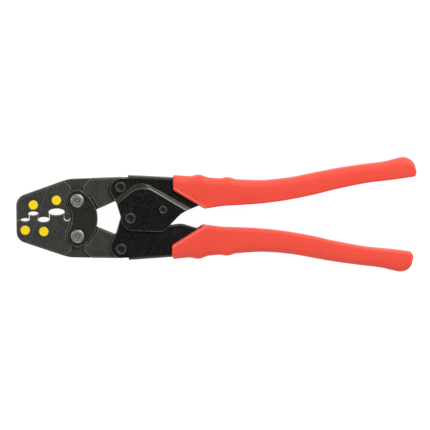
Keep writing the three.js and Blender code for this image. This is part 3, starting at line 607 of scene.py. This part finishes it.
# The lip's paler copy of the finish is a painted highlight.
PIN_LIP_HIGHLIGHT = made_of(phosphated_steel("phosphated_steel_lip_highlight", "42423D", "54544E"))
SHANK_MM, PAWL_SHANK_MM = 3.2, 2.4
LIP_HALF_MM = 0.3


def pivot_pin(node, shank_mm, body):
    head = size_mm(node).x / 2
    top = size_mm(node).z / 2
    seat = top - 1.1
    crown = head * 0.76
    half = [
        (shank_mm, seat - 0.02),
        (shank_mm, seat),
        (head - 0.05, seat),
        (head, seat + 0.05),
        (head, top - 0.62),
        (head - 0.1, top - 0.5),
        (crown + 0.35, top - 0.14),
        (crown + 0.15, top - 0.02),
        (crown, top),
        (crown - 0.15, top - 0.02),
        (crown - 0.35, top - 0.14),
        (crown - 0.55, top - 0.3),
        (0.0, top - 0.34),
    ]
    mesh = turn_on_lathe(node + "_turned", both_ends(half), middle_of(node))
    piece = new_piece(node + "_turned", mesh, "black_phosphate_steel", body, node)
    mesh.materials.clear()
    mesh.materials.append(PIN_STEEL)
    mesh.materials.append(PIN_LIP_HIGHLIGHT)
    axis = middle_of(node)
    for face in mesh.polygons:
        out = (face.center - axis).xy.length / MM
        face.material_index = 1 if abs(out - crown) < LIP_HALF_MM else 0
    smooth_by_angle(piece, 40)


for pin, shank, body in (
    ("centre_pin", SHANK_MM, "lower_handle"),
    ("lower_front_pin", SHANK_MM, "lower_handle"),
    ("upper_front_pin", SHANK_MM, "upper_handle"),
    ("pawl_pin", PAWL_SHANK_MM, "upper_handle"),
):
    pivot_pin(pin, shank, body)
    print(pin, "head", round(size_mm(pin).x, 1), "mm")


# %% [markdown]
# The jaw rivets are larger, and an orbital press has domed them: a rounded rim, a flat land, a
# ring groove darkened with painted shade where the tool's nose pressed in, and a small bright pip
# left standing in the middle.


# %% Jaw rivets
RIVET_SHANK_MM = 3.4


def jaw_rivet(node):
    head = size_mm(node).x / 2
    top = size_mm(node).z / 2
    seat = top - 1.3
    dome = [
        (head, seat),
        (head, seat + 0.5),
        (head - 0.5, top - 0.25),
        (head - 1.6, top),
        (head - 2.6, top),
        (2.3, top - 0.02),
        (2.0, top - 0.8),
        (1.1, top - 0.85),
        (0.85, top - 0.15),
        (0.5, top - 0.02),
        (0.0, top),
    ]
    shank = RIVET_SHANK_MM
    half = [(shank, seat - 0.02), (shank, seat)] + eased(dome)
    mesh = turn_on_lathe(node + "_pressed", both_ends(half), middle_of(node))
    piece = new_piece(node + "_pressed", mesh, "zinc_plated_steel", "link_plates", node)
    smooth_by_angle(piece, 40)


for rivet in ("upper_jaw_rivet", "lower_jaw_rivet"):
    jaw_rivet(rivet)
    print(rivet, "head", round(size_mm(rivet).x, 1), "mm")


# %% [markdown]
# Each size mark is a puddle of enamel in a shallow dimple. Surface tension pulls it up at the rim
# and leaves the middle a hair lower, so its profile is a flat disc with a soft raised edge.


# %% Size marks
def enamel_dot(node, body):
    radius = size_mm(node).x / 2
    half_high = size_mm(node).z / 2
    puddle = [
        (0.0, -half_high),
        (radius, -half_high),
        (radius, half_high - 0.2),
        (radius - 0.25, half_high - 0.03),
        (radius - 0.6, half_high),
        (radius - 1.3, half_high - 0.05),
        (0.0, half_high - 0.08),
    ]
    mesh = turn_on_lathe(node + "_enamel", puddle, middle_of(node), 64)
    piece = new_piece(node + "_enamel", mesh, "yellow_enamel", body, node)
    smooth_by_angle(piece, 40)
    print(node, "dot", round(2 * radius, 1), "mm")


for number, jaw in ((1, "lower_jaw"), (2, "upper_jaw"), (3, "lower_jaw"), (4, "upper_jaw")):
    enamel_dot(f"size_mark_{number}", jaw)

# %% [markdown]
# A grip is a moulded sleeve pushed over the folded handle. Its outline is drawn as two smooth
# curves: the outer edge, with two finger ridges and a bulb at the end that stops the hand from
# slipping off, and the inner edge. At each station along the grip a rounded section joins the two
# curves. The section has a broad radius outside, where the palm presses, and a tight one on the
# inside, where two die halves met. Lofting many sections gives an even mesh with no stretched
# faces, which a subdivided box could not follow as closely.

# %% The grip's outline
FRONT, LAST = 33.0, 219.5
OUTER_POINTS = [
    (0.0, 31.9),
    (0.075, 30.75),
    (0.15, 29.6),
    (0.255, 28.15),
    (0.35, 27.2),
    (0.415, 27.75),
    (0.495, 29.5),
    (0.575, 32.35),
    (0.66, 35.3),
    (0.75, 37.8),
    (0.835, 39.6),
    (1.0, 41.6),
]
INNER_POINTS = [
    (0.1287, 6.5),
    (0.17, 7.7),
    (0.21, 8.6),
    (0.275, 9.1),
    (0.35, 9.95),
    (0.425, 11.4),
    (0.49, 13.25),
    (0.575, 16.3),
    (0.66, 20.05),
    (0.75, 23.45),
    (0.81, 25.3),
    (0.9, 27.1),
    (1.0, 29.6),
]
RIDGES = [(20.6, 1.65, 8.0), (42.6, 1.2, 7.0)]
# The bulb's outer edge, as distance back from the end and rise over BULB_BASE.
BULB_LONG, BULB_BASE = 31, 39.6
BULB = [(23, 1.15), (17, 2.6), (10.5, 3.97), (5.5, 3.1), (1.7, -0.2), (0, -5.5)]


print("outline points:", len(OUTER_POINTS), "outer,", len(INNER_POINTS), "inner")

# %% [markdown]
# A hand-cut die has no corners along the grip, so the points are joined by a curve that passes
# through all of them and turns evenly. Two cosine bumps on the outer curve are the finger ridges.


# %% Curves through the outline
def catmull_rom(points, steps=40):
    """A smooth curve through the points, as a dense list of (x, y)."""
    ends = [points[0], *points, points[-1]]
    curve = []
    for a, b, c, d in zip(ends, ends[1:], ends[2:], ends[3:]):
        for i in range(steps):
            t = i / steps
            weights = (
                -0.5 * t**3 + t**2 - 0.5 * t,
                1.5 * t**3 - 2.5 * t**2 + 1,
                -1.5 * t**3 + 2 * t**2 + 0.5 * t,
                0.5 * t**3 - 0.5 * t**2,
            )
            curve.append(tuple(sum(w * p[k] for w, p in zip(weights, (a, b, c, d))) for k in (0, 1)))
    return curve + [points[-1]]


def height_on(curve, x):
    for (x0, y0), (x1, y1) in zip(curve, curve[1:]):
        if x <= x1:
            return y0 + (y1 - y0) * (x - x0) / (x1 - x0)
    return curve[-1][1]


def along(share):
    return FRONT + share * (LAST - FRONT)


OUTER = catmull_rom([(along(s), y) for s, y in OUTER_POINTS])
INNER = catmull_rom([(along(s), y) for s, y in INNER_POINTS])


def ridged_outer(x, front):
    ridge = 0.0
    for at, high, reach in RIDGES:
        away = abs(x - front - at) / reach
        if away < 1:
            ridge += high * math.cos(away * math.pi / 2) ** 2
    return height_on(OUTER, x) + ridge


print("grip is", round(ridged_outer(80, FRONT) - height_on(INNER, 80), 1), "mm wide at 80 mm")


# %% [markdown]
# The section of the sleeve is a rounded rectangle with a slightly crowned face. The front and the
# end are closed by a few more sections that shrink inwards along a quarter circle, which
# gives both rims a moulded radius.


# %% The grip's sections
CORNER_STEPS = 9
FACE_STEPS = 8


def sleeve_section(x, low, high, half, inset=0.0):
    """One closed ring of points across the grip at x. inset shrinks it evenly."""
    low, high, half = low + inset, high - inset, half - inset
    width = high - low
    inner_radius = min(1.7, width * 0.45)
    outer_radius = min(4.6, width * 0.45)
    crown = 0.35
    ring = []
    corners = [
        (high - outer_radius, half - outer_radius, outer_radius, 0),
        (low + inner_radius, half - inner_radius, inner_radius, 90),
        (low + inner_radius, inner_radius - half, inner_radius, 180),
        (high - outer_radius, outer_radius - half, outer_radius, 270),
    ]
    for k, (y, z, radius, start) in enumerate(corners):
        for i in range(CORNER_STEPS + 1):
            angle = math.radians(start + 90 * i / CORNER_STEPS)
            ring.append([y + radius * math.cos(angle), z + radius * math.sin(angle)])
        if k in (0, 2):
            y1, z1 = corners[k + 1][0], math.copysign(half, z)
            start_y = ring[-1][0]
            for i in range(1, FACE_STEPS):
                ring.append([start_y + (y1 - start_y) * i / FACE_STEPS, z1])
    mid = (low + high) / 2
    for point in ring:
        share = abs(point[0] - mid) / (width / 2)
        point[1] -= math.copysign(crown * share**2, point[1]) * min(1, abs(point[1]) / half)
    return [(x, y, z) for y, z in ring]


print("points in a section:", len(sleeve_section(80.0, 10.0, 28.0, 11.0)))


def grip_stations(front, end_x):
    """Where the sections stand: every 0.8 mm, then closer and closer towards the end."""
    xs = [front + 1.4 + i * 0.8 for i in range(int((end_x - front - 12) / 0.8))]
    steps = 26
    first = xs[-1]
    reach = end_x - 0.01 - first
    xs += [first + reach * math.sin(math.pi / 2 * i / steps) for i in range(1, steps + 1)]
    return xs


# %% [markdown]
# The loft joins each section to the next with four-sided faces. The grip's nose and heel are
# rounded in the outline, and the sections near both ends shrink, so no rim is left sharp.


# %% Loft the grips
HEEL_RADIUS, NOSE_RADIUS = 1.5, 2.0
RIM, END_RIM = 1.3, 2.4
RIM_STEPS = 6


def rounding(way, radius):
    """How far a quarter round falls back from an edge, at some way in from its corner."""
    if way >= radius:
        return 0.0
    return radius - math.sqrt(radius**2 - (radius - max(0.0, way)) ** 2)


def grip_edges(x, front, end_x, bulb):
    high = height_on(bulb, x) if x > end_x - BULB_LONG else ridged_outer(x, front)
    if x < front + MOUTH_LONG:
        low = MOUTH_TOP + (MOUTH_LOW - MOUTH_TOP) * (x - front) / MOUTH_LONG
    else:
        low = height_on(INNER, x)
    return low + rounding(end_x - x, HEEL_RADIUS), high - rounding(x - front, NOSE_RADIUS)


def loft(work, rings):
    verts = [[work.verts.new(p) for p in ring] for ring in rings]
    count = len(verts[0])
    for lower, upper in zip(verts, verts[1:]):
        for i in range(count):
            j = (i + 1) % count
            work.faces.new((lower[i], lower[j], upper[j], upper[i]))
    work.faces.new(verts[0])
    work.faces.new(verts[-1])
    bmesh.ops.recalc_face_normals(work, faces=work.faces)


def grip_shell(side, front, end_x, half):
    lead_in = [end_x - BULB_LONG - 5, end_x - BULB_LONG]
    swell = [(x, height_on(OUTER, x)) for x in lead_in]
    bulb = catmull_rom(swell + [(end_x - back, BULB_BASE + rise) for back, rise in BULB])
    sections = []
    for i in range(RIM_STEPS + 1):
        turn = math.pi / 2 * i / RIM_STEPS
        x = front + RIM * (1 - math.cos(turn))
        low, high = grip_edges(x, front, end_x, bulb)
        sections.append(sleeve_section(x, low, high, half, RIM * (1 - math.sin(turn))))
    for x in grip_stations(front, end_x):
        low, high = grip_edges(x, front, end_x, bulb)
        inset = rounding(end_x - x, END_RIM) * 0.8
        inset = min(inset, (high - low) / 2 - 0.6)
        sections.append(sleeve_section(x, low, high, half, inset))
    work = bmesh.new()
    loft(work, [[place(x, side * y, z) for x, y, z in ring] for ring in sections])
    return work


print("sections in a grip:", RIM_STEPS + 1 + len(grip_stations(FRONT, LAST)))


# %% [markdown]
# The sleeve is hollow where the folded steel goes in. The pocket follows the steel with a small
# clearance, and cutting it out of the loft leaves the thin lip that shows at the slanted mouth.


# %% Cut the pocket and place the grips
SHEET_HALF = 7.4


def pocket(side, end_x):
    start = FRONT + MOUTH_LONG + 2
    inner = [start + (end_x - start) * i / 30 for i in range(31)]
    outer = [end_x + (FRONT - end_x) * i / 40 for i in range(41)]
    outline = [(x, height_on(INNER, x) + 1.7) for x in inner]
    outline += [(x, height_on(OUTER, x) - 1.3) for x in outer]
    outline += [(FRONT - 5, 31.0), (FRONT - 5, -12), (FRONT + 6, 1)]
    work = bmesh.new()
    lower = [work.verts.new(place(x, side * y, -SHEET_HALF)) for x, y in outline]
    upper = [work.verts.new(place(x, side * y, SHEET_HALF)) for x, y in outline]
    work.faces.new(lower)
    work.faces.new(upper)
    for i in range(len(outline)):
        j = (i + 1) % len(outline)
        work.faces.new((lower[i], lower[j], upper[j], upper[i]))
    bmesh.ops.recalc_face_normals(work, faces=work.faces)
    mesh = bpy.data.meshes.new("pocket")
    work.to_mesh(mesh)
    work.free()
    return mesh


def grip(node, side, body):
    low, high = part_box(node)
    front = (low.x - ZERO.x) / MM
    end_x = (high.x - ZERO.x) / MM
    half = size_mm(node).z / 2
    work = grip_shell(side, front, end_x, half)
    mesh = bpy.data.meshes.new(node + "_sleeve")
    work.to_mesh(mesh)
    work.free()
    piece = new_piece(node + "_sleeve", mesh, "red_vinyl", body, node)
    cutter = bpy.data.objects.new("pocket_cutter", pocket(side, end_x - 13 + 0.3))
    bpy.context.scene.collection.objects.link(cutter)
    cut = piece.modifiers.new("pocket", "BOOLEAN")
    cut.object = cutter
    cut.solver = "EXACT"
    bpy.context.view_layer.update()
    graph = bpy.context.evaluated_depsgraph_get()
    cut_mesh = bpy.data.meshes.new_from_object(piece.evaluated_get(graph))
    piece.modifiers.clear()
    piece.data = cut_mesh
    bpy.data.objects.remove(cutter)
    smooth_by_angle(piece, 40)
    print(node, "faces:", len(piece.data.polygons))


grip("upper_grip", 1, "upper_handle")
grip("lower_grip", -1, "lower_handle")

# %% [markdown]
# The bench is a plain pale sheet that glows, as a lit acrylic table does, which keeps the shadows
# thin. Its own colour is a mid grey, so that it throws little of its light back onto the tool.


# %% The bench
def pale_bench():
    work = bmesh.new()
    bmesh.ops.create_grid(work, x_segments=8, y_segments=8, size=3.0)
    mesh = bpy.data.meshes.new("bench")
    work.to_mesh(mesh)
    work.free()
    bench = bpy.data.objects.new("bench", mesh)
    bench.location.z = cad_low.z - 0.0002
    bpy.context.scene.collection.objects.link(bench)
    made, tree, shader = blank_material(
        "lit_white_acrylic",
        Roughness=0.6,
        Emission_Color=(1, 1, 1, 1),
        Emission_Strength=0.98,
    )
    at = add(tree, "TexCoord", out="Object")
    haze = add(tree, "TexNoise", Vector=at, Scale=scale_for(300.0), Detail=2.0, Roughness=0.55)
    cloud = add(tree, "MapRange", Value=haze, From_Min=0.3, From_Max=0.7)
    plug(shader, Base_Color=add(tree, "Mix", data_type="RGBA", Factor=cloud, A="606060", B="686868"))
    mesh.materials.append(made)
    print("bench at", round(bench.location.z * 1000, 1), "mm")


pale_bench()

# %% [markdown]
# The light is that of a white tent, with a broad lamp high beyond the tool, two low ones at its far
# corners and one on the near side. The low ones graze the tool, so that edges that face away from
# the viewer catch a pale line. A larger lamp gives a softer edge to its shadow.


# %% The lamps and the tent
def area_light(name, spot, watts, size):
    light = bpy.data.lights.new(name, "AREA")
    light.energy = watts
    light.size = size
    lamp = bpy.data.objects.new(name, light)
    lamp.location = spot
    lamp.rotation_mode = "QUATERNION"
    lamp.rotation_quaternion = (-Vector(spot)).to_track_quat("-Z", "Y")
    bpy.context.scene.collection.objects.link(lamp)
    print(name, watts, "W")


def white_tent(at_horizon, overhead):
    """Light from all round, brighter near the bench than straight above."""
    world = bpy.data.worlds.new("white_tent")
    world.use_nodes = True
    tree = world.node_tree
    height = add(tree, "SeparateXYZ", out="Z", Vector=add(tree, "TexCoord", out="Generated"))
    strength = add(tree, "MapRange", Value=height, To_Min=at_horizon, To_Max=overhead)
    plug(tree.nodes["Background"], Color=(1, 1, 1, 1), Strength=strength)
    bpy.context.scene.world = world


white_tent(0.33, 0.1)
area_light("beyond_right", (0.55, 0.65, 1.0), 9.5, 0.5)
area_light("low_right", (0.6, 1.0, 0.5), 6.5, 0.3)
area_light("low_left", (-1.2, 0.35, 0.42), 6.0, 0.5)
area_light("near_left", (-0.1, -1.0, 0.6), 4.6, 0.8)

# %% [markdown]
# The camera looks down on the front face from far away through a long lens, which keeps parallel
# edges parallel. It leans a little up and to the left, so that some of the upper sides show. Its
# turning is built from three axes, since aiming it by a quaternion would also roll the view.


# %% The camera
def camera_overhead():
    lens = bpy.data.cameras.new("overhead")
    camera = bpy.data.objects.new("overhead", lens)
    away, view_width = 6.0, 0.32895
    lean_up, lean_left, turn = math.radians(4.0), math.radians(2.0), math.radians(-0.52)
    aim = place(64.97, 1.48, 6.0)
    towards = Vector((-math.tan(lean_left), math.tan(lean_up), 1.0)).normalized()
    camera.location = aim + towards * away
    right = Vector((0, 1, 0)).cross(towards).normalized()
    stance = Matrix((right, towards.cross(right), towards)).transposed()
    camera.rotation_euler = (stance @ Matrix.Rotation(turn, 3, "Z")).to_euler()
    lens.sensor_width = 36
    lens.lens = 36 * away / view_width
    lens.clip_end = 20
    bpy.context.scene.collection.objects.link(camera)
    bpy.context.scene.camera = camera
    print("lens", round(lens.lens), "mm, at", round(away, 1), "m")


camera_overhead()
bpy.context.scene.view_settings.view_transform = "Standard"
